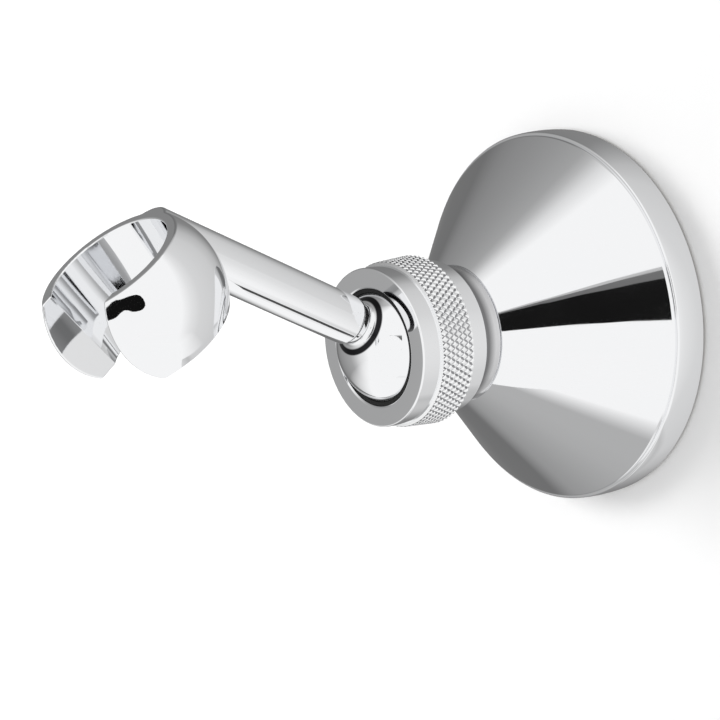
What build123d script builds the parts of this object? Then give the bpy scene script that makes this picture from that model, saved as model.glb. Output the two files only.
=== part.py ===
from build123d import *
import math
import os

# Hand shower holder for a wall: a conical flange, a ball joint under a knurled collar, and an
# arm with a ball-shaped cup, bored to a cone and open at the front through a slot.
# Millimetres. The origin is the middle of the flange's back, on the wall. -Y leaves the wall
# and +Z is up. "Out" is a distance from the wall, so a point at out has y = -out.

# Wall flange
flange_diameter = 80.0
flange_depth = 32.7
rim_height = 7.4
rim_crown = 0.3
rim_ledge = 0.6
rim_wall = 3.0
cone_wall = 2.2
front_wall = 3.5
flange_round = 0.35
foot_height = 0.5
foot_round = 0.9

# Wall plate inside the flange
plate_thickness = 3.0
plate_rim_width = 3.4
plate_opening_diameter = 30.0
plate_head_room = 0.4
plate_clearance = 0.1
screw_hole_diameter = 5.0
screw_circle = 50.0
screw_count = 3

# Grub screw through the underside of the rim, and the groove of the plate that it holds
grub_diameter = 4.0
grub_out = 4.0
grub_sink = 0.4
grub_dog_diameter = 2.4
grub_key = 2.0
grub_key_depth = 1.6
groove_side_gap = 0.3
groove_depth = 0.6
groove_land = 0.5

# Ball joint: ball, necked stud, friction seat and the elastic ring behind it
ball_diameter = 25.6
ball_side_gap = 0.7
ball_clearance = 0.08
seat_web = 0.67
seat_length = 7.0
elastic_thickness = 1.0
ring_opening_diameter = 12.0
stud_neck_diameter = 8.6
stud_neck_gap = 1.2
stud_neck_round = 0.9
stud_thread_diameter = 6.0
stud_thread_length = 11.0
thread_end_room = 2.0
thread_clearance = 0.05
running_clearance = 0.05

# Socket body and its lock nut
neck_step = 0.95
neck_length = 5.0
neck_round = 0.8
spigot_wall = 1.35
spigot_to_ball = 5.0
socket_floor = 1.3
stem_diameter = 18.0
stem_proud = 3.0
turned_chamfer = 0.5
nut_width = 24.0
nut_thickness = 4.5
nut_chamfer_angle = 30.0

# Knurled collar and the clamp ring that it carries
collar_gap = 0.4
collar_wall = 2.5
collar_front_step = 0.4
collar_round = 0.35
lip_to_ball = 6.68
lip_thickness = 1.1
lip_reach = 1.3
lip_chamfer = 0.3
rear_rim_length = 4.9
knurl_length = 7.7
knurl_rear_height = 1.2
knurl_front_height = 0.75
knurl_depth = 0.45
knurl_count = 80
knurl_rows = 7
clamp_length = 4.8
nose_sink = 0.5

# Arm and cup
arm_diameter = 10.1
arm_round = 1.0
cup_reach = 66.45
cup_drop = 13.7
bore_lean = 28.84
bore_top_diameter = 25.7
bore_bottom_diameter = 22.7
cup_top = 9.4
cup_bottom = 10.1
cup_top_land = 1.97
slot_width = 18.8
blend_round = 0.6
lip_round = 0.3

# Pose of the ball: the arm's rise above the horizontal, and the turn about its own axis
arm_tilt = 26.83
arm_spin = -11.6

# Places and sizes that follow from these
ball_radius = ball_diameter / 2
pocket_floor = flange_depth + socket_floor
seat_back = pocket_floor + elastic_thickness + running_clearance
ball_out = seat_back + seat_web + ball_radius
collar_bore_radius = ball_radius + ball_side_gap
spigot_radius = collar_bore_radius - thread_clearance
spigot_front = ball_out - spigot_to_ball
pocket_radius = spigot_radius - spigot_wall
neck_radius = spigot_radius + neck_step
neck_front = flange_depth + neck_length
collar_back = neck_front + collar_gap
collar_front = ball_out + lip_to_ball
collar_rear_radius = collar_bore_radius + collar_wall
collar_front_radius = collar_rear_radius + collar_front_step
clamp_front = collar_front - lip_thickness - running_clearance
nut_front = flange_depth - front_wall
nut_back = nut_front - nut_thickness
flange_radius = flange_diameter / 2
plate_rim_height = grub_out + grub_dog_diameter / 2 + groove_side_gap + groove_land
arm_start = ball_radius + stud_neck_gap
cup_radius = math.hypot(bore_top_diameter / 2 + cup_top_land, cup_top)
cut_margin = 5.0


# A turned piece from corners (radius, out, corner rounding), revolved about the socket's axis.
def turned(*corners):
    outline = make_face(Polyline(*[(radius, -out) for radius, out, _ in corners], close=True))
    for radius, out, rounding in corners:
        if rounding:
            corner = outline.vertices().sort_by_distance((radius, -out, 0))[0]
            outline = fillet(corner, rounding)
    return revolve(outline, Axis.Y)


# A cylinder along the socket's axis between two distances from the wall.
def along_socket(diameter, out_start, out_end):
    length = out_end - out_start
    return Pos(0, -(out_start + out_end) / 2, 0) * Rot(90, 0, 0) * Cylinder(diameter / 2, length)


# Conical cover that hides the plate, with a crowned rim and a fine ledge under the cone's
# rounded foot.
def make_wall_flange():
    rim_radius = flange_radius - rim_crown
    cone_foot = rim_radius - rim_ledge
    cone_end = rim_height + foot_height
    slope = (cone_foot - neck_radius) / (flange_depth - cone_end)
    inner_shift = cone_wall * math.hypot(1, slope)
    inner_rim = flange_radius - rim_wall
    inner_corner = plate_rim_height + plate_head_room
    inner_front = neck_radius + slope * front_wall - inner_shift
    hole_radius = stem_diameter / 2 + thread_clearance
    edges = [
        Line((hole_radius, -flange_depth), (neck_radius, -flange_depth)),
        Line((neck_radius, -flange_depth), (cone_foot, -cone_end)),
        Line((cone_foot, -cone_end), (cone_foot, -rim_height)),
        Line((cone_foot, -rim_height), (rim_radius, -rim_height)),
        ThreePointArc((rim_radius, -rim_height), (flange_radius, -rim_height / 2), (rim_radius, 0)),
        Line((rim_radius, 0), (inner_rim, 0)),
        Line((inner_rim, 0), (inner_rim, -inner_corner)),
        Line((inner_rim, -inner_corner), (inner_front, -nut_front)),
        Line((inner_front, -nut_front), (hole_radius, -nut_front)),
        Line((hole_radius, -nut_front), (hole_radius, -flange_depth)),
    ]
    outline = make_face(edges)
    roundings = [
        (rim_radius, 0, flange_round),
        (rim_radius, rim_height, flange_round),
        (cone_foot, cone_end, foot_round),
    ]
    for radius, out, rounding in roundings:
        corner = outline.vertices().sort_by_distance((radius, -out, 0))[0]
        outline = fillet(corner, rounding)
    shell = revolve(outline, Axis.Y)
    screw_hole = Cylinder(grub_diameter / 2, rim_wall + 2 * cut_margin)
    return shell - Pos(0, -grub_out, -(flange_radius - rim_wall / 2)) * screw_hole


# Plate that is screwed to the wall, a flat ring with a grooved rim that fills the flange.
def make_wall_plate():
    radius = flange_radius - rim_wall - plate_clearance
    rim_inside = radius - plate_rim_width
    opening_radius = plate_opening_diameter / 2
    groove_radius = radius - groove_depth
    groove_low = grub_out - grub_dog_diameter / 2 - groove_side_gap
    groove_high = grub_out + grub_dog_diameter / 2 + groove_side_gap
    plate = turned(
        (opening_radius, 0, 0),
        (radius, 0, 0),
        (radius, groove_low, 0),
        (groove_radius, groove_low, 0),
        (groove_radius, groove_high, 0),
        (radius, groove_high, 0),
        (radius, plate_rim_height, 0),
        (rim_inside, plate_rim_height, 0),
        (rim_inside, plate_thickness, 0),
        (opening_radius, plate_thickness, 0),
    )
    for index in range(screw_count):
        turn = Rot(0, 90 + index * 360 / screw_count, 0)
        hole = along_socket(screw_hole_diameter, -cut_margin, plate_thickness + cut_margin)
        plate -= turn * Pos(screw_circle / 2, 0, 0) * hole
    return plate


# Dog point grub screw with a hexagon socket, on the flange's lowest radius.
def make_grub_screw():
    head = flange_radius - grub_sink
    shoulder = flange_radius - rim_wall
    tip = flange_radius - rim_wall - plate_clearance - groove_depth
    body_radius = grub_diameter / 2 - thread_clearance
    body = Pos(0, 0, -(head + shoulder) / 2) * Cylinder(body_radius, head - shoulder)
    dog = Pos(0, 0, -(shoulder + tip) / 2) * Cylinder(grub_dog_diameter / 2, shoulder - tip)
    key_sketch = RegularPolygon(grub_key / 2, 6, major_radius=False)
    key = Pos(0, 0, -head) * extrude(key_sketch, grub_key_depth)
    return Pos(0, -grub_out, 0) * (body + dog - key)


# Turned body that carries the ball: stem, neck ring, threaded spigot and pocket.
def make_socket_body():
    stem_radius = stem_diameter / 2
    stem_end = nut_back - stem_proud
    return turned(
        (0, stem_end, 0),
        (stem_radius - turned_chamfer, stem_end, 0),
        (stem_radius, stem_end + turned_chamfer, 0),
        (stem_radius, flange_depth, 0),
        (neck_radius, flange_depth, neck_round),
        (neck_radius, neck_front, neck_round),
        (spigot_radius, neck_front, 0),
        (spigot_radius, spigot_front - turned_chamfer, 0),
        (spigot_radius - turned_chamfer, spigot_front, 0),
        (pocket_radius, spigot_front, 0),
        (pocket_radius, pocket_floor, 0),
        (0, pocket_floor, 0),
    )


# Thin hexagon nut, chamfered on both faces, that draws the socket body against the flange.
def make_lock_nut():
    outline = RegularPolygon(nut_width / 2, 6, major_radius=False)
    outline -= Circle(stem_diameter / 2 + thread_clearance)
    nut = Pos(0, -nut_front, 0) * Rot(-90, 0, 0) * extrude(outline, nut_thickness)
    chamfer_reach = nut_thickness / 2 / math.tan(math.radians(nut_chamfer_angle))
    chamfers = turned(
        (0, nut_back, 0),
        (nut_width / 2, nut_back, 0),
        (nut_width / 2 + chamfer_reach, (nut_back + nut_front) / 2, 0),
        (nut_width / 2, nut_front, 0),
        (0, nut_front, 0),
    )
    return nut & chamfers


# Flat rubber ring that presses the seat against the ball.
def make_elastic_ring():
    outer_radius = pocket_radius - running_clearance
    inner_radius = ring_opening_diameter / 2
    back = pocket_floor
    front = pocket_floor + elastic_thickness
    return turned(
        (inner_radius, back, 0),
        (outer_radius, back, 0),
        (outer_radius, front, 0),
        (inner_radius, front, 0),
    )


# The ball's hollow counterpart, with the clearance that a sliding seat has.
def ball_room():
    return Pos(0, -ball_out, 0) * Sphere(ball_radius + ball_clearance)


# Rear friction seat in the pocket, dished to the ball.
def make_friction_seat():
    outer_radius = pocket_radius - running_clearance
    inner_radius = ring_opening_diameter / 2
    seat = turned(
        (inner_radius, seat_back, 0),
        (outer_radius, seat_back, 0),
        (outer_radius, seat_back + seat_length, 0),
        (inner_radius, seat_back + seat_length, 0),
    )
    return seat - ball_room()


# Front clamp ring behind the collar's lip, with a nose that fills the gap between lip and ball.
def make_clamp_ring():
    outer_radius = collar_bore_radius - running_clearance
    nose_radius = collar_bore_radius - lip_reach - running_clearance
    clamp_back = clamp_front - clamp_length
    ring = along_socket(2 * outer_radius, clamp_back, clamp_front)
    ring += along_socket(2 * nose_radius, clamp_back, collar_front - nose_sink)
    return ring - ball_room()


# Diamond knurl: rows of corners that alternate between the root and the crest, so that each
# groove runs along a diagonal and each diamond is a low pyramid. The band tapers to the front.
def make_knurl_band(inside_radius):
    half_pitches = 2 * knurl_count
    back = collar_back + rear_rim_length

    def corner(row, step):
        height = knurl_rear_height + (knurl_front_height - knurl_rear_height) * row / knurl_rows
        depth = 0 if (row + step) % 2 else knurl_depth
        radius = collar_front_radius + height - depth
        angle = 2 * math.pi * step / half_pitches
        out = back + knurl_length * row / knurl_rows
        return Vector(radius * math.cos(angle), -out, radius * math.sin(angle))

    def inner_circle(out):
        plane = Plane(origin=(0, -out, 0), x_dir=(1, 0, 0), z_dir=(0, -1, 0))
        return Wire.make_circle(inside_radius, plane)

    def facet(*places):
        return Face(Wire.make_polygon([corner(row, step) for row, step in places], close=True))

    faces = []
    for row in range(knurl_rows):
        for step in range(half_pitches):
            cell = [(row, step), (row, step + 1), (row + 1, step + 1), (row + 1, step)]
            if (row + step) % 2:
                cell = cell[1:] + cell[:1]
            first_root, first_crest, last_root, last_crest = cell
            faces.append(facet(first_root, first_crest, last_root))
            faces.append(facet(first_root, last_root, last_crest))
    for row, out in ((0, back), (knurl_rows, back + knurl_length)):
        outline = Wire.make_polygon([corner(row, step) for step in range(half_pitches)], close=True)
        faces.append(Face(outline, [inner_circle(out)]))
    faces.append(Face.extrude(inner_circle(back).edges()[0], (0, -knurl_length, 0)))
    return Solid(Shell(faces))


# Collar nut: threaded bore, inward lip round the ball, plain rims beside the knurl.
def make_knurled_collar():
    opening_radius = collar_bore_radius - lip_reach
    knurl_back = collar_back + rear_rim_length
    lip_back = collar_front - lip_thickness
    core = turned(
        (collar_bore_radius, collar_back, 0),
        (collar_rear_radius, collar_back, collar_round),
        (collar_rear_radius, knurl_back, 0),
        (collar_front_radius, knurl_back, 0),
        (collar_front_radius, collar_front, collar_round),
        (opening_radius + lip_chamfer, collar_front, 0),
        (opening_radius, collar_front - lip_chamfer, 0),
        (opening_radius, lip_back, 0),
        (collar_bore_radius, lip_back, 0),
    )
    return core + make_knurl_band((collar_bore_radius + collar_rear_radius) / 2)


# The arm's own frame has the ball's centre as its origin, the arm along -Y and the cup below it.
arm_place = Pos(0, -ball_out, 0) * Rot(-arm_tilt, 0, 0) * Rot(0, arm_spin, 0)
cup_place = Pos(0, -cup_reach, -cup_drop) * Rot(90 - bore_lean, 0, 0)


# Ball with a short necked foot and a threaded shank for the arm, turned about the arm's axis.
def make_ball_stud():
    stud_radius = stud_neck_diameter / 2
    shank_radius = stud_thread_diameter / 2
    shank_end = arm_start + stud_thread_length
    foot = math.sqrt(ball_radius**2 - stud_radius**2)
    edges = [
        ThreePointArc((0, ball_radius), (ball_radius, 0), (stud_radius, -foot)),
        Line((stud_radius, -foot), (stud_radius, -arm_start)),
        Line((stud_radius, -arm_start), (shank_radius, -arm_start)),
        Line((shank_radius, -arm_start), (shank_radius, -shank_end)),
        Line((shank_radius, -shank_end), (0, -shank_end)),
        Line((0, -shank_end), (0, ball_radius)),
    ]
    outline = make_face(edges)
    foot_corner = outline.vertices().sort_by_distance((stud_radius, -foot, 0))[0]
    outline = fillet(foot_corner, stud_neck_round)
    return arm_place * revolve(outline, Axis.Y)


# Arm and cup, cast as one piece: a round rod that runs into the side of a ball, which is cut
# flat above and below, bored to a cone and slotted away from the arm.
def make_cup_arm():
    rod_end = cup_reach + cup_radius
    rod = Rot(90, 0, 0) * Cylinder(arm_diameter / 2, rod_end - arm_start)
    rod = Pos(0, -(arm_start + rod_end) / 2, 0) * rod
    rod = fillet(rod.edges().sort_by(Axis.Y)[-1], arm_round)
    trim = Box(2 * cup_reach, 2 * cup_reach, 2 * cup_reach)
    above = Pos(0, 0, cup_top + cup_reach) * trim
    below = Pos(0, 0, -cup_bottom - cup_reach) * trim
    body = cup_place * (Sphere(cup_radius) - below) + rod
    body -= cup_place * above
    top_face = body.faces().filter_by(GeomType.PLANE).sort_by(SortBy.AREA)[-1]
    blend = body.edges().filter_by(GeomType.BSPLINE) + top_face.edges()
    body = fillet(blend, blend_round)

    taper = (bore_top_diameter - bore_bottom_diameter) / 2 / (cup_top + cup_bottom)
    bore_low = bore_bottom_diameter / 2 - taper * cut_margin
    bore_high = bore_top_diameter / 2 + taper * cut_margin
    bore_length = cup_top + cup_bottom + 2 * cut_margin
    bore = Pos(0, 0, (cup_top - cup_bottom) / 2) * Cone(bore_low, bore_high, bore_length)
    slot = Pos(0, -cup_radius, 0) * Box(slot_width, 2 * cup_radius, 4 * cup_radius)
    body -= cup_place * (bore + slot)
    lips = [edge for edge in body.edges() if math.isclose(abs((edge @ 0.5).X), slot_width / 2)]
    circles = [edge for edge in body.edges().filter_by(GeomType.CIRCLE) if edge not in lips]
    rings = [edge for edge in circles if edge.radius > arm_diameter / 2 + arm_round]
    body = fillet(lips + rings, lip_round)

    thread_depth = stud_thread_length + thread_end_room
    thread_hole = Cylinder(stud_thread_diameter / 2 + thread_clearance, thread_depth)
    body -= Pos(0, -arm_start - thread_depth / 2, 0) * Rot(90, 0, 0) * thread_hole
    return arm_place * body


nodes = {
    "wall_plate": make_wall_plate,
    "wall_flange": make_wall_flange,
    "grub_screw": make_grub_screw,
    "socket_body": make_socket_body,
    "lock_nut": make_lock_nut,
    "elastic_ring": make_elastic_ring,
    "friction_seat": make_friction_seat,
    "clamp_ring": make_clamp_ring,
    "knurled_collar": make_knurled_collar,
    "ball_stud": make_ball_stud,
    "cup_arm": make_cup_arm,
}

os.makedirs("parts", exist_ok=True)
for name, make in nodes.items():
    export_step(make(), f"parts/{name}.step")
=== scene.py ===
import bmesh
import bpy
import math
from mathutils import Matrix, Vector


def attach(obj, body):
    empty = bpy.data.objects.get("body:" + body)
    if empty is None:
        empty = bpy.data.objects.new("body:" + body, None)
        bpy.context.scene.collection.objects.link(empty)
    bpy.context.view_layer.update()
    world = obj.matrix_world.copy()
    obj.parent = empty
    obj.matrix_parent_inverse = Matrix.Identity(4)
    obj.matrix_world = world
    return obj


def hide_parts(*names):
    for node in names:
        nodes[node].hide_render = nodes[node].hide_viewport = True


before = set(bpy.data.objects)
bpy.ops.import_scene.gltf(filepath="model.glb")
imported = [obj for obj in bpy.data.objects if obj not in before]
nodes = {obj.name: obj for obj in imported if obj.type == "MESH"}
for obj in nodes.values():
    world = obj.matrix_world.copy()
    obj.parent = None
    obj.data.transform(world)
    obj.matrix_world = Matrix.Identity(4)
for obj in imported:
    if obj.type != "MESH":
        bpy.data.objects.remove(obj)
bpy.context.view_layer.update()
scene = bpy.context.scene
mm = 0.001
mergeGap = 0.001 * mm    # points closer than this are one point
pickGap = 0.01 * mm    # how near to a ring a point has to lie to be picked
print("frame loaded:", len(nodes), "nodes")


# shader trees
def addNode(tree, kind, inputs=None, **settings):
    node = tree.nodes.new(kind)
    for name, value in settings.items():
        setattr(node, name, value)
    for name, value in (inputs or {}).items():
        node.inputs[name].default_value = value
    return node


def newMaterial(name, colour, metallic, roughness):
    material = bpy.data.materials.new(name)
    material.use_nodes = True
    tree = material.node_tree
    shader = tree.nodes["Principled BSDF"]
    shader.inputs["Base Color"].default_value = (*colour, 1)
    shader.inputs["Metallic"].default_value = metallic
    shader.inputs["Roughness"].default_value = roughness
    return material, tree, shader


def objectNoise(tree, scale, detail):
    place = addNode(tree, "ShaderNodeTexCoord")
    noise = addNode(tree, "ShaderNodeTexNoise", {"Scale": scale, "Detail": detail})
    tree.links.new(place.outputs["Object"], noise.inputs["Vector"])
    return noise.outputs["Fac"]


def socketRadius(tree):    # distance from the socket's axis, in metres
    place = addNode(tree, "ShaderNodeTexCoord")
    flat = addNode(tree, "ShaderNodeVectorMath", {1: (1, 0, 1)}, operation="MULTIPLY")
    length = addNode(tree, "ShaderNodeVectorMath", operation="LENGTH")
    tree.links.new(place.outputs["Object"], flat.inputs[0])
    tree.links.new(flat.outputs["Vector"], length.inputs[0])
    return length.outputs["Value"]


def turnedMarks(tree, scale):    # fine rings left by the lathe
    inputs = {"Scale": scale, "Detail": 3.0}
    rings = addNode(tree, "ShaderNodeTexNoise", inputs, noise_dimensions="1D")
    tree.links.new(socketRadius(tree), rings.inputs["W"])
    return rings.outputs["Fac"]


def spread(tree, source, low, high, fromLow=0.3, fromHigh=0.7):    # a noise's useful range is 0.3 to 0.7
    limits = {"From Min": fromLow, "From Max": fromHigh, "To Min": low, "To Max": high}
    node = addNode(tree, "ShaderNodeMapRange", limits)
    tree.links.new(source, node.inputs["Value"])
    return node.outputs["Result"]


def combine(tree, operation, first, second):
    node = addNode(tree, "ShaderNodeMath", operation=operation)
    tree.links.new(first, node.inputs[0])
    tree.links.new(second, node.inputs[1])
    return node.outputs["Value"]


def along(tree, direction):    # how far a point lies in that direction
    place = addNode(tree, "ShaderNodeTexCoord")
    measured = addNode(tree, "ShaderNodeVectorMath", {1: direction}, operation="DOT_PRODUCT")
    tree.links.new(place.outputs["Object"], measured.inputs[0])
    return measured.outputs["Value"]


def blendColours(tree, factor, first, second):
    mix = addNode(tree, "ShaderNodeMix", {"A": (*first, 1), "B": (*second, 1)}, data_type="RGBA")
    tree.links.new(factor, mix.inputs["Factor"])
    return mix.outputs["Result"]


def addBump(tree, shader, height, strength, distance):
    bump = addNode(tree, "ShaderNodeBump", {"Strength": strength, "Distance": distance * mm})
    tree.links.new(height, bump.inputs["Height"])
    tree.links.new(bump.outputs["Normal"], shader.inputs["Normal"])


def dress(nodeName, material):
    slots = nodes[nodeName].data.materials
    slots.clear()
    slots.append(material)


# chrome: a faint haze and a wave that the plating leaves
plating = {"haze": 120, "hazeDetail": 4, "wave": 260, "waveDetail": 1, "waveHeight": 0.02}
polishedChrome = {"colour": (0.90, 0.905, 0.915), "rough": (0.02, 0.05)}
# the dark chrome of the knurl's flanks towards the wall is painted shade
flankShadeChrome = {"colour": (0.30, 0.30, 0.31), "rough": (0.1, 0.18)}
toppedChrome = {"colour": (0.93, 0.935, 0.94), "rough": (0.12, 0.2)}
turnedWave = 0.05
castWave = 0.12


def makeChrome(name, chrome, waviness):
    material, tree, shader = newMaterial(name, chrome["colour"], 1.0, chrome["rough"][0])
    haze = objectNoise(tree, plating["haze"], plating["hazeDetail"])
    tree.links.new(spread(tree, haze, *chrome["rough"]), shader.inputs["Roughness"])
    wave = objectNoise(tree, plating["wave"], plating["waveDetail"])
    addBump(tree, shader, wave, waviness, plating["waveHeight"])
    return material


turnedChrome = makeChrome("turned_chrome", polishedChrome, turnedWave)
castChrome = makeChrome("cast_chrome", polishedChrome, castWave)
valleyShadeChrome = makeChrome("valley_painted_shade", flankShadeChrome, turnedWave)
pressedChrome = makeChrome("pressed_chrome", toppedChrome, turnedWave)
studChrome = makeChrome("stud_chrome", polishedChrome, turnedWave)

# painted shade: the socket's neck is darker beside the collar and clears towards the cone
neck = {
    "shadeNearCollar": (0.24, 0.24, 0.245), "nearCone": (0.78, 0.78, 0.79),
    "shadeFullOut": 36.2, "shadeEndOut": 34.4, "plainRough": 0.09, "rough": (0.06, 0.12),
}
neckShadeChrome, tree, shader = newMaterial("neck_chrome_painted_shade", neck["nearCone"], 1.0, neck["plainRough"])
neckShadeFade = spread(tree, along(tree, (0, 1, 0)), 0, 1, -neck["shadeFullOut"] * mm, -neck["shadeEndOut"] * mm)
neckShadedColour = blendColours(tree, neckShadeFade, neck["shadeNearCollar"], neck["nearCone"])
neckHaze = objectNoise(tree, plating["haze"], plating["hazeDetail"])
tree.links.new(neckShadedColour, shader.inputs["Base Color"])
tree.links.new(spread(tree, neckHaze, *neck["rough"]), shader.inputs["Roughness"])

# painted shade and reflection: a dark line in the joint between ball, stud and arm, as distances from the
# ball's centre
arm = {
    "ball": (0, -48.52, 0), "tilt": 26.83, "shadeRing": (11.2, 11.65), "end": (0, 14.6),
    "shade": (0.02, 0.02, 0.022), "soft": 0.12,
}


def paintShadeRing(material, start, end):
    tree = material.node_tree
    shader = tree.nodes["Principled BSDF"]
    tilt = math.radians(arm["tilt"])
    armWay = Vector((0, -math.cos(tilt), math.sin(tilt)))
    ballPlace = armWay.dot(Vector(arm["ball"]))
    place = along(tree, armWay)
    first = (ballPlace + start) * mm
    last = (ballPlace + end) * mm
    soft = arm["soft"] * mm
    inside = spread(tree, place, 0, 1, first - soft, first)
    before = spread(tree, place, 1, 0, last, last + soft)
    shadeRing = combine(tree, "MULTIPLY", inside, before)
    shaded = blendColours(tree, shadeRing, polishedChrome["colour"], arm["shade"])
    tree.links.new(shaded, shader.inputs["Base Color"])


# the ring on the ball at the stud's foot and the arm's end are painted dark, standing for shade and
# reflection
paintShadeRing(studChrome, *arm["shadeRing"])
paintShadeRing(castChrome, *arm["end"])

# other finishes: two tones and a roughness that follow one noise, with or without lathe marks
# plain and plainRough are the shader's own values, which the noise then takes over
nickel = {
    "plain": (0.42, 0.41, 0.39), "plainRough": 0.45, "metallic": 1.0, "grain": 90, "detail": 5,
    "tones": ((0.36, 0.35, 0.33), (0.50, 0.49, 0.46)), "rough": (0.38, 0.55),
    "marks": 2600, "markStrength": 0.15, "markHeight": 0.02,
}
zinc = {
    "plain": (0.55, 0.56, 0.58), "plainRough": 0.35, "metallic": 1.0, "grain": 240, "detail": 3,
    "tones": ((0.48, 0.49, 0.51), (0.62, 0.63, 0.64)), "rough": (0.28, 0.45),
    "marks": 1800, "markStrength": 0.12, "markHeight": 0.03,
}
brass = {
    "plain": (0.72, 0.56, 0.27), "plainRough": 0.28, "metallic": 1.0, "grain": 160, "detail": 4,
    "tones": ((0.64, 0.48, 0.21), (0.76, 0.61, 0.32)), "rough": (0.22, 0.38),
    "marks": 3200, "markStrength": 0.2, "markHeight": 0.02,
}
steel = {
    "plain": (0.45, 0.46, 0.48), "plainRough": 0.3, "metallic": 1.0, "grain": 900, "detail": 3,
    "tones": ((0.40, 0.41, 0.43), (0.50, 0.51, 0.53)), "rough": (0.24, 0.4),
}
rubber = {
    "plain": (0.05, 0.05, 0.05), "plainRough": 0.75, "metallic": 0.0, "grain": 300, "detail": 4,
    "tones": ((0.035, 0.035, 0.035), (0.07, 0.07, 0.068)),
    "pores": 1500, "poreDetail": 2, "poreStrength": 0.2, "poreHeight": 0.03,
}
acetal = {
    "plain": (0.85, 0.85, 0.82), "plainRough": 0.4, "metallic": 0.0, "grain": 150, "detail": 3,
    "tones": ((0.81, 0.81, 0.78), (0.88, 0.88, 0.85)), "rough": (0.34, 0.48),
}
nylon = {
    "plain": (0.01, 0.01, 0.01), "plainRough": 0.5, "metallic": 0.0, "grain": 500, "detail": 3,
    "tones": ((0.006, 0.006, 0.006), (0.014, 0.014, 0.014)), "rough": (0.42, 0.6), "specular": 0.25,
}


def makeFinish(name, look):
    material, tree, shader = newMaterial(name, look["plain"], look["metallic"], look["plainRough"])
    grain = objectNoise(tree, look["grain"], look["detail"])
    tree.links.new(blendColours(tree, grain, *look["tones"]), shader.inputs["Base Color"])
    if "rough" in look:
        tree.links.new(spread(tree, grain, *look["rough"]), shader.inputs["Roughness"])
    if "marks" in look:
        marks = turnedMarks(tree, look["marks"])
        addBump(tree, shader, marks, look["markStrength"], look["markHeight"])
    if "pores" in look:
        pores = objectNoise(tree, look["pores"], look["poreDetail"])
        addBump(tree, shader, pores, look["poreStrength"], look["poreHeight"])
    if "specular" in look:
        shader.inputs["Specular IOR Level"].default_value = look["specular"]
    return material


dullNickel = makeFinish("dull_nickel", nickel)
dress("ball_stud", studChrome)
dress("cup_arm", castChrome)
dress("socket_body", neckShadeChrome)
dress("wall_plate", makeFinish("zinc_plate", zinc))
dress("lock_nut", makeFinish("bare_brass", brass))
dress("grub_screw", makeFinish("screw_steel", steel))
dress("elastic_ring", makeFinish("matte_rubber", rubber))
dress("friction_seat", makeFinish("white_acetal", acetal))
dress("clamp_ring", makeFinish("black_nylon", nylon))
print("finishes made")


# edit mode: a piece starts as one vertex, and its outline is drawn from there
def startPiece(name, place):
    bpy.ops.object.select_all(action="DESELECT")
    bpy.ops.mesh.primitive_plane_add(size=2 * mm)
    piece = bpy.context.object
    piece.name = name
    piece.data.name = name
    bpy.ops.object.mode_set(mode="EDIT")
    bpy.ops.mesh.select_mode(type="VERT")
    bpy.ops.mesh.select_all(action="SELECT")
    bpy.ops.mesh.merge(type="CENTER")
    bpy.ops.transform.translate(value=place)
    return piece


def selectWhere(piece, test, kind):
    bpy.ops.mesh.select_mode(type=kind)
    bpy.ops.mesh.select_all(action="DESELECT")
    mesh = bmesh.from_edit_mesh(piece.data)
    if kind == "VERT":
        for vertex in mesh.verts:
            vertex.select_set(test(vertex.co))
    else:
        for element in (mesh.edges if kind == "EDGE" else mesh.faces):
            element.select_set(all(test(vertex.co) for vertex in element.verts))
    mesh.select_flush_mode()
    bmesh.update_edit_mesh(piece.data)


def closeUp(distance):
    bpy.ops.mesh.select_all(action="SELECT")
    bpy.ops.mesh.remove_doubles(threshold=distance)
    bpy.ops.mesh.normals_make_consistent(inside=False)


def drawOutline(name, corners):    # corners are (radius, out from the wall) in mm
    places = [Vector((radius, -out, 0)) * mm for radius, out in corners]
    piece = startPiece(name, places[0])
    for here, there in zip(places, places[1:] + places[:1]):
        bpy.ops.mesh.extrude_region_move(TRANSFORM_OT_translate={"value": there - here})
    closeUp(mergeGap)
    return piece


def turnPiece(name, shape):    # the outline is spun about the socket's axis and its edges are rounded
    piece = drawOutline(name, shape["corners"])
    bpy.ops.mesh.spin(steps=shape["steps"], angle=2 * math.pi, center=(0, 0, 0), axis=(0, 1, 0))
    closeUp(mergeGap)
    for radius, out, width, segments in shape["rounds"]:
        roundRing(piece, radius, out, width, segments)
    return piece


def roundRing(piece, radius, out, width, segments):
    def onRing(place):
        offAxis = abs(math.hypot(place.x, place.z) - radius * mm)
        return offAxis < pickGap and abs(place.y + out * mm) < pickGap
    selectWhere(piece, onRing, "EDGE")
    bpy.ops.mesh.bevel(offset=width * mm, offset_type="OFFSET", segments=segments, affect="EDGES")


def finishPiece(piece, body, materials, smoothAngle):
    bpy.ops.object.mode_set(mode="OBJECT")
    bpy.ops.object.shade_smooth_by_angle(angle=math.radians(smoothAngle))
    bpy.ops.object.modifier_add(type="WEIGHTED_NORMAL")
    weighted = piece.modifiers[-1]
    weighted.keep_sharp = True
    bpy.ops.object.modifier_apply(modifier=weighted.name)
    for material in materials:
        piece.data.materials.append(material)
    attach(piece, body)


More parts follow.
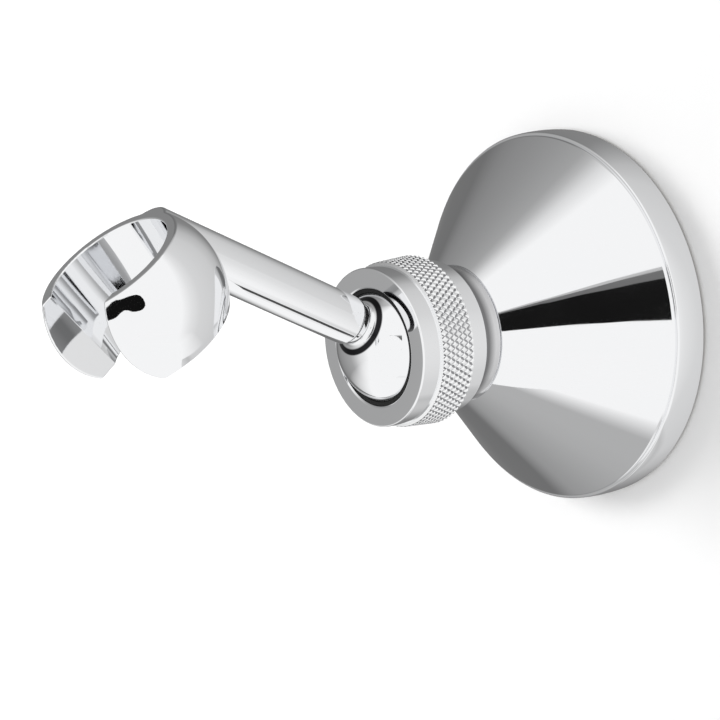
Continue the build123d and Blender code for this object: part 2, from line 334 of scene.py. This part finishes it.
# wall flange: cone, rounded foot, crowned rim and the hole of the grub screw
flange = {
    "corners": [(9.05, 32.7), (14.4, 32.7), (39.1, 7.9), (39.1, 7.4), (39.7, 7.4), (40.14, 3.7),
                (39.7, 0.0), (37.0, 0.0), (37.0, 6.4), (14.78, 29.2), (9.05, 29.2)],
    "rounds": [(40.14, 3.7, 3.3, 12), (39.1, 7.9, 0.36, 5), (39.7, 7.4, 0.3, 5), (39.7, 0.0, 0.3, 4),
               (37.0, 0.0, 0.2, 2)],    # radius, out, width, segments
    "steps": 288, "smooth": 30,
    "holeRadius": 2.0, "holeOut": 4.0, "holeDrop": 38.5, "holeDepth": 8, "holeSides": 64, "inward": 0.5,
}
wallFlange = turnPiece("flange_cover", flange)
bpy.ops.object.mode_set(mode="OBJECT")
bpy.ops.mesh.primitive_cylinder_add(
    vertices=flange["holeSides"], radius=flange["holeRadius"] * mm, depth=flange["holeDepth"] * mm,
    location=(0, -flange["holeOut"] * mm, -flange["holeDrop"] * mm))
drill = bpy.context.object
bpy.ops.object.select_all(action="DESELECT")
bpy.context.view_layer.objects.active = wallFlange
wallFlange.select_set(True)
bpy.ops.object.modifier_add(type="BOOLEAN")
drilled = wallFlange.modifiers[-1]
drilled.object = drill
drilled.operation = "DIFFERENCE"
drilled.solver = "EXACT"
bpy.ops.object.modifier_apply(modifier=drilled.name)
bpy.data.objects.remove(drill)
finishPiece(wallFlange, "base", [turnedChrome, dullNickel], flange["smooth"])
for face in wallFlange.data.polygons:
    outward = Vector((face.center.x, 0, face.center.z)).normalized()
    if face.normal.y > flange["inward"] or face.normal.dot(outward) < -flange["inward"]:
        face.material_index = 1    # the plating is thin and dull inside
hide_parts("wall_flange")
print("flange turned")

# knurled collar: the turned nut first, then the band of diamonds round it
collar = {
    "corners": [(13.5, 38.1), (16.0, 38.1), (16.0, 43.0), (16.4, 43.0), (16.4, 55.2), (12.5, 55.2),
                (12.2, 54.9), (12.2, 54.1), (13.5, 54.1)],
    "rounds": [(16.0, 38.1, 0.35, 5), (16.4, 55.2, 0.35, 5), (12.5, 55.2, 0.08, 2)],
    "steps": 240, "smooth": 30,
}
collarNut = turnPiece("collar_nut", collar)
finishPiece(collarNut, "collar", [turnedChrome], collar["smooth"])
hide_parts("knurled_collar")

knurl = {
    "crest": 17.6, "root": 17.27, "back": 43.0, "front": 50.7, "count": 80, "rows": 7, "valley": 0.3,
    "taper": 0.45, "bevelStart": 50.5, "bevelEnd": 50.75, "bevelFoot": 16.38, "inside": 15.0,
    "weld": 0.03, "ringGap": 0.006, "edgeGap": 0.02, "smooth": 15,
}
rowPitch = (knurl["front"] - knurl["back"]) / knurl["rows"]
halfStep = math.pi / knurl["count"]
bpy.ops.object.select_all(action="DESELECT")
bpy.ops.mesh.primitive_circle_add(vertices=4, radius=mm, fill_type="NGON")
knurlBand = bpy.context.object
knurlBand.name = "collar_knurl"
knurlBand.data.name = "collar_knurl"
knurlBand.data.materials.append(valleyShadeChrome)
knurlBand.data.materials.append(pressedChrome)


def assignSlot(index):    # the selected faces of the band take that finish
    knurlBand.active_material_index = index
    bpy.ops.object.material_slot_assign()


bpy.ops.object.mode_set(mode="EDIT")
bpy.ops.mesh.select_all(action="SELECT")
bpy.ops.transform.resize(value=(knurl["root"] * math.tan(halfStep), rowPitch, 1))
bpy.ops.transform.translate(value=(0, -knurl["back"] * mm, knurl["root"] * mm))
bpy.ops.mesh.inset(thickness=knurl["valley"] * mm)
bpy.ops.transform.translate(value=(0, 0, (knurl["crest"] - knurl["root"]) * mm))
bpy.ops.mesh.select_all(action="SELECT")
assignSlot(1)
selectWhere(knurlBand, lambda place: place.y > -knurl["back"] * mm - pickGap, "FACE")
assignSlot(0)    # only the flanks towards the wall take the dark chrome, which is painted shade
bpy.ops.mesh.select_all(action="SELECT")
for repeat in range((knurl["rows"] + 1) // 2):    # every second row along the band
    bpy.ops.mesh.duplicate_move(TRANSFORM_OT_translate={"value": (0, -2 * rowPitch * mm, 0)})
bpy.ops.mesh.select_all(action="SELECT")
bpy.ops.mesh.duplicate_move(TRANSFORM_OT_translate={"value": (0, rowPitch * mm, 0)})
bpy.ops.transform.rotate(value=halfStep, orient_axis="Y", center_override=(0, 0, 0))
bpy.ops.mesh.select_all(action="SELECT")
bpy.ops.mesh.spin(steps=knurl["count"] - 1, angle=2 * math.pi - 2 * halfStep, dupli=True,
                  center=(0, 0, 0), axis=(0, 1, 0))
closeUp(knurl["weld"] * mm)
for out, side in ((knurl["back"], 1), (knurl["bevelStart"], -1)):
    bpy.ops.mesh.select_all(action="SELECT")
    bpy.ops.mesh.bisect(plane_co=(0, -out * mm, 0), plane_no=(0, side, 0), clear_outer=True,
                        threshold=pickGap)

# the band tapers to the front, one ring of vertices after the other
mesh = bmesh.from_edit_mesh(knurlBand.data)
ringOuts = sorted({round(-vertex.co.y / mm, 2) for vertex in mesh.verts})
for ringOut in ringOuts:
    selectWhere(knurlBand, lambda place: abs(place.y + ringOut * mm) < knurl["ringGap"] * mm, "VERT")
    share = (ringOut - knurl["back"]) / (knurl["front"] - knurl["back"])
    narrowed = 1 - knurl["taper"] * share / knurl["crest"]
    bpy.ops.transform.resize(value=(narrowed, 1, narrowed), center_override=(0, 0, 0))
print("knurl tapered over", len(ringOuts), "rings")


def selectRings(outs, kind):
    def onRing(place):
        return min(abs(place.y + out * mm) for out in outs) < knurl["edgeGap"] * mm
    selectWhere(knurlBand, onRing, kind)


def extrudeRings(outs, scale, forward):
    selectRings(outs, "EDGE")
    bpy.ops.mesh.extrude_region_move(TRANSFORM_OT_translate={"value": (0, -forward * mm, 0)})
    bpy.ops.transform.resize(value=(scale, 1, scale), center_override=(0, 0, 0))


selectRings([knurl["bevelStart"]], "VERT")
bpy.ops.transform.tosphere(value=1.0)    # the front edge is turned, so its ring is round
frontCrest = knurl["crest"] - knurl["taper"]
bevelLength = knurl["bevelEnd"] - knurl["bevelStart"]
extrudeRings([knurl["bevelStart"]], knurl["bevelFoot"] / frontCrest, bevelLength)
extrudeRings([knurl["back"], knurl["bevelEnd"]], knurl["inside"] / knurl["crest"], 0)
bpy.ops.mesh.bridge_edge_loops()
bpy.ops.mesh.select_all(action="SELECT")
bpy.ops.mesh.normals_make_consistent(inside=False)
selectWhere(knurlBand, lambda place: place.y < -knurl["bevelStart"] * mm + pickGap, "FACE")
assignSlot(1)
finishPiece(knurlBand, "collar", [], knurl["smooth"])
print("collar knurled")

# thread on the end of the socket's stem, behind the lock nut
stemThread = {
    "start": 24.6, "pitch": 0.9, "turns": 2, "steps": 96, "smooth": 30,
    "profile": [(8.9, 0), (9.3, 0.4), (9.3, 0.5), (8.9, 0.9)],    # radius, share of the pitch
}
threadCorners = [(radius, stemThread["start"] - share * stemThread["pitch"])
                 for radius, share in stemThread["profile"]]
thread = drawOutline("stem_thread", threadCorners)
bpy.ops.object.mode_set(mode="OBJECT")
bpy.ops.object.modifier_add(type="SCREW")
helix = thread.modifiers[-1]
helix.axis = "Y"
helix.screw_offset = stemThread["pitch"] * mm
helix.iterations = stemThread["turns"]
helix.steps = stemThread["steps"]
helix.render_steps = stemThread["steps"]
bpy.ops.object.modifier_apply(modifier=helix.name)
bpy.ops.object.mode_set(mode="EDIT")
bpy.ops.mesh.select_all(action="SELECT")
bpy.ops.mesh.fill_holes(sides=0)
closeUp(mergeGap)
finishPiece(thread, "base", [neckShadeChrome], stemThread["smooth"])
print("stem threaded")

# camera of the photograph, placed from the fitted view
photoView = {
    "azimuth": 52.04, "elevation": 13.50, "distance": 0.54306, "right": -0.04612, "up": -0.01041,
    "sensor": 36, "lens": 125, "clipStart": 0.01,
}


def aim(azimuth, elevation):    # outward direction, its right and its up
    turn = math.radians(azimuth)
    rise = math.radians(elevation)
    level = math.cos(rise)
    outward = Vector((math.sin(turn) * level, -math.cos(turn) * level, math.sin(rise)))
    across = Vector((math.cos(turn), math.sin(turn), 0))
    return outward, across, outward.cross(across)


back, right, up = aim(photoView["azimuth"], photoView["elevation"])
cameraPlace = back * photoView["distance"] + right * photoView["right"] + up * photoView["up"]
bpy.ops.object.camera_add(location=cameraPlace)
camera = bpy.context.object
camera.rotation_euler = Matrix((right, up, back)).transposed().to_euler()
camera.data.sensor_width = photoView["sensor"]
camera.data.lens = photoView["lens"]
camera.data.clip_start = photoView["clipStart"]
scene.camera = camera
print("camera set")


# stage: a tent of soft light with flags and cards in it, seen only in the chrome
def glossyOnly(piece):
    piece.visible_camera = False
    piece.visible_diffuse = False
    piece.visible_transmission = False
    piece.visible_shadow = False


def emitter(name, tone):
    material = bpy.data.materials.new(name)
    material.use_nodes = True
    tree = material.node_tree
    tree.nodes.clear()
    glow = addNode(tree, "ShaderNodeEmission", {"Color": (tone, tone, tone, 1)})
    out = addNode(tree, "ShaderNodeOutputMaterial")
    tree.links.new(glow.outputs["Emission"], out.inputs["Surface"])
    return material, tree, glow, out


def lighter(tree, first, second):
    mix = addNode(tree, "ShaderNodeMix", {"Factor": 1.0}, data_type="RGBA", blend_type="LIGHTEN")
    tree.links.new(first, mix.inputs["A"])
    tree.links.new(second, mix.inputs["B"])
    return mix.outputs["Result"]


def toneRamp(tree, source, tones):    # tones are (position, grey)
    ramp = addNode(tree, "ShaderNodeValToRGB")
    elements = ramp.color_ramp.elements
    tree.links.new(source, ramp.inputs["Fac"])
    while len(elements) < len(tones):
        elements.new(0.5)
    for element, (position, tone) in zip(elements, tones):
        element.position = position
        element.color = (tone, tone, tone, 1)
    return ramp.outputs["Color"]


def hideFrom(tree, output, surface, hidden):    # the surface is clear where hidden is 1
    clear = addNode(tree, "ShaderNodeBsdfTransparent")
    choice = addNode(tree, "ShaderNodeMixShader")
    tree.links.new(hidden, choice.inputs["Fac"])
    tree.links.new(surface, choice.inputs[1])
    tree.links.new(clear.outputs["BSDF"], choice.inputs[2])
    tree.links.new(choice.outputs["Shader"], output.inputs["Surface"])


# heights and sides are shares of the tent's radius, turns are degrees from the right, seen from above
tentShape = {
    "radius": 3.0, "segments": 64, "rings": 32,
    "tones": [(-90, 0.27), (-60, 0.36), (-50, 0.39), (-40, 0.50), (-25, 0.76), (-5, 1.0), (112, 1.0),
              (126, 0.83), (140, 0.72), (162, 0.68), (182, 0.64), (200, 0.52), (220, 0.25),
              (244, 0.175), (256, 0.17), (264, 0.24), (270, 0.27)],
    "topTone": 0.65, "topFrom": 0.75, "bottomTone": 0.9, "bottomFrom": -0.6, "bottomTo": -0.9,
    "floorTones": [(-0.7, 0.19), (-0.58, 0.29), (-0.35, 0.335), (-0.15, 0.385), (0.1, 0.44),
                   (0.3, 0.46)],
    "floorAzimuth": 45, "floorFrom": -0.745, "floorTo": -0.855,
    "brightAzimuth": 125, "brightFrom": -0.02, "brightTo": 0.06,
}
tentRadius = tentShape["radius"]
bpy.ops.mesh.primitive_uv_sphere_add(segments=tentShape["segments"], ring_count=tentShape["rings"],
                                     radius=tentRadius)
tent = bpy.context.object
tent.name = "studio_tent"
bpy.ops.object.shade_smooth()
tentMaterial, tree, glow, out = emitter("tent_light", 1)
place = addNode(tree, "ShaderNodeTexCoord")
around = addNode(tree, "ShaderNodeTexGradient", gradient_type="RADIAL")
tree.links.new(place.outputs["Object"], around.inputs["Vector"])
sideTones = [(turn / 360 + 0.25, tone) for turn, tone in tentShape["tones"]]
sides = toneRamp(tree, around.outputs["Fac"], sideTones)
height = along(tree, (0, 0, 1))
top = spread(tree, height, 0, tentShape["topTone"], tentShape["topFrom"] * tentRadius, tentRadius)
bottom = spread(tree, height, tentShape["bottomTone"], 0, tentShape["bottomTo"] * tentRadius,
                tentShape["bottomFrom"] * tentRadius)

lowest = tentShape["floorTones"][0][0]
highest = tentShape["floorTones"][-1][0]
floorWay = along(tree, aim(tentShape["floorAzimuth"], 0)[0])
floorShare = spread(tree, floorWay, 0, 1, lowest * tentRadius, highest * tentRadius)
floorTones = [((share - lowest) / (highest - lowest), tone) for share, tone in tentShape["floorTones"]]
floorLight = toneRamp(tree, floorShare, floorTones)
depth = spread(tree, height, 1, 0, tentShape["floorTo"] * tentRadius, tentShape["floorFrom"] * tentRadius)
floorMix = addNode(tree, "ShaderNodeMix", data_type="RGBA")
tree.links.new(depth, floorMix.inputs["Factor"])
tree.links.new(sides, floorMix.inputs["A"])
tree.links.new(floorLight, floorMix.inputs["B"])

brightWay = along(tree, aim(tentShape["brightAzimuth"], 0)[0])
brightSide = spread(tree, brightWay, 0, 1, tentShape["brightFrom"] * tentRadius,
                    tentShape["brightTo"] * tentRadius)
bright = combine(tree, "MULTIPLY", bottom, brightSide)
tones = lighter(tree, lighter(tree, floorMix.outputs["Result"], top), bright)
tree.links.new(tones, glow.inputs["Color"])
tent.data.materials.append(tentMaterial)
glossyOnly(tent)

# flags and cards: outline and fade are across and above the place, in mm, as seen from the part
# a card shows only to rays between nearest and reach, and fades out over the last soft mm
aside = (41, 10)    # azimuth, elevation
below = (0, -90)
flags = [
    {"name": "cone_flag", "away": 300, "aim": aside, "tone": 0.008, "nearest": 264.5, "reach": 400,
     "outline": [(-60, -33), (-10, -36), (15, -39), (46, -46), (46, 50), (4, 52.5), (-17, 55), (-33, 60),
                 (-60, 68)]},
    {"name": "cone_flag_edge", "away": 301, "aim": aside, "tone": 0.17, "nearest": 264.5, "reach": 400,
     "outline": [(-60, 40), (46, 40), (46, 74), (4, 70), (-24, 66), (-60, 70)]},
    {"name": "cone_flag_glow", "away": 302, "aim": aside, "tone": 0.55, "nearest": 264.5, "reach": 400,
     "outline": [(-60, 40), (46, 40), (46, 83), (4, 78), (-24, 73), (-60, 73)]},
    {"name": "cup_flag", "away": 305, "aim": aside, "tone": 0.006, "nearest": 0, "reach": 228,
     "outline": [(-170, -60), (-150, -36), (-135, -21), (-115, -5), (-97, 6), (-80, 12), (-63, 21),
                 (-46, 31), (-28, 37), (-11, 41), (8, 38), (24, 24), (34, 6), (36, -8), (30, -20),
                 (22, -28), (8, -33), (-11, -37), (-28, -37), (-46, -31), (-63, -31), (-80, -44),
                 (-97, -62), (-115, -74), (-135, -82), (-170, -84)]},
    {"name": "arm_flag", "away": 200, "aim": below, "tone": 0.07, "nearest": 214, "reach": 260,
     "outline": [(52, -12), (90, -12), (90, 75), (52, 75)]},
    {"name": "ball_card", "away": 45, "aim": below, "tone": 1.0, "nearest": 36.5, "reach": 128, "soft": 12,
     "fade": (-85, -41), "fadeAlong": (1, -0.35),
     "outline": [(-66, 50), (8, 50), (8, 165), (-66, 165)]},
    {"name": "ball_card_end", "away": 45, "aim": below, "tone": 1.0, "nearest": 36.5, "reach": 54,
     "soft": 4, "outline": [(8, 50), (46, 50), (46, 100), (8, 100)]},
    {"name": "cup_card", "away": 46, "aim": below, "tone": 1.0, "nearest": 50, "reach": 130, "soft": 40,
     "outline": [(-10, 78), (125, 78), (125, 175), (-10, 175)]},
    {"name": "cup_card_side", "away": 46, "aim": below, "tone": 1.0, "nearest": 62, "reach": 130,
     "soft": 40, "fade": (28, 78), "fadeAlong": (0, 1),
     "outline": [(36, 28), (125, 28), (125, 78), (36, 78)]},
]
sharpEdge = 0.1

for flag in flags:
    outward, across, upward = aim(*flag["aim"])
    bpy.ops.object.select_all(action="DESELECT")
    bpy.ops.mesh.primitive_circle_add(vertices=len(flag["outline"]), radius=mm, fill_type="NGON")
    card = bpy.context.object
    card.name = flag["name"]
    for vertex, (sideways, above) in zip(card.data.vertices, flag["outline"]):
        vertex.co = (outward * flag["away"] + across * sideways + upward * above) * mm
    card.data.update()
    if card.data.polygons[0].normal.dot(outward) > 0:
        card.data.flip_normals()
    flagMaterial, tree, glow, out = emitter(flag["name"], flag["tone"])
    facing = addNode(tree, "ShaderNodeNewGeometry")
    rays = addNode(tree, "ShaderNodeLightPath")
    rayLength = rays.outputs["Ray Length"]
    fullTo = flag["reach"] - flag.get("soft", sharpEdge)
    far = spread(tree, rayLength, 0, 1, fullTo * mm, flag["reach"] * mm)
    near = addNode(tree, "ShaderNodeMath", {1: flag["nearest"] * mm}, operation="LESS_THAN")
    tree.links.new(rayLength, near.inputs[0])
    outside = combine(tree, "MAXIMUM", far, near.outputs["Value"])
    hidden = combine(tree, "MAXIMUM", outside, facing.outputs["Backfacing"])
    if "fade" in flag:    # from clear to full over the card
        slant = across * flag["fadeAlong"][0] + upward * flag["fadeAlong"][1]
        clearAt, fullAt = flag["fade"]
        faded = spread(tree, along(tree, slant), 1, 0, clearAt * mm, fullAt * mm)
        hidden = combine(tree, "MAXIMUM", faded, hidden)
    hideFrom(tree, out, glow.outputs["Emission"], hidden)
    card.data.materials.append(flagMaterial)
    glossyOnly(card)

# wall behind and floor below, clear from behind so that the back and the underside can be seen
backdrop = {"width": 6.0, "wallGap": 0.4 * mm, "floorDrop": 0.35}
paleWall = {"colour": (0.98, 0.98, 0.98), "rough": 0.9}
paleFloor = {"colour": (0.9, 0.9, 0.9), "rough": 0.8}


def oneSided(name, look):
    material, tree, shader = newMaterial(name, look["colour"], 0.0, look["rough"])
    facing = addNode(tree, "ShaderNodeNewGeometry")
    output = tree.nodes["Material Output"]
    hideFrom(tree, output, shader.outputs["BSDF"], facing.outputs["Backfacing"])
    return material


bpy.ops.mesh.primitive_plane_add(size=backdrop["width"], rotation=(math.radians(90), 0, 0),
                                 location=(0, backdrop["wallGap"], 0))
wall = bpy.context.object
wall.name = "wall"
wall.data.materials.append(oneSided("pale_wall", paleWall))
wall.visible_diffuse = False
wall.visible_glossy = False
wall.visible_transmission = False
wall.visible_shadow = False

bpy.ops.mesh.primitive_plane_add(size=backdrop["width"], location=(0, 0, -backdrop["floorDrop"]))
floor = bpy.context.object
floor.name = "floor"
floor.data.materials.append(oneSided("pale_floor", paleFloor))
floor.visible_glossy = False

# one soft lamp gives the shadow on the wall, and the sky is white where it is seen
softLamp = {"place": (-0.75, -0.65, 0.16), "aim": (0, 0, 0), "size": 0.55, "power": 6.0}
bpy.ops.object.light_add(type="AREA", location=softLamp["place"])
lamp = bpy.context.object
lamp.data.size = softLamp["size"]
lamp.data.energy = softLamp["power"]
lamp.visible_glossy = False
lampWay = Vector(softLamp["aim"]) - lamp.location
lamp.rotation_euler = lampWay.to_track_quat("-Z", "Y").to_euler()

skyLight = {"onSurfaces": 0.665, "seen": 1.0}
world = bpy.data.worlds.new("studio")
scene.world = world
world.use_nodes = True
tree = world.node_tree
sky = tree.nodes["Background"]
sky.inputs["Color"].default_value = (1, 1, 1, 1)
rays = addNode(tree, "ShaderNodeLightPath")
seen = combine(tree, "MAXIMUM", rays.outputs["Is Camera Ray"], rays.outputs["Is Glossy Ray"])
shown = combine(tree, "MAXIMUM", seen, rays.outputs["Is Transmission Ray"])
strength = spread(tree, shown, skyLight["onSurfaces"], skyLight["seen"], 0, 1)
tree.links.new(strength, sky.inputs["Strength"])
scene.view_settings.view_transform = "Standard"
print("stage and light set")
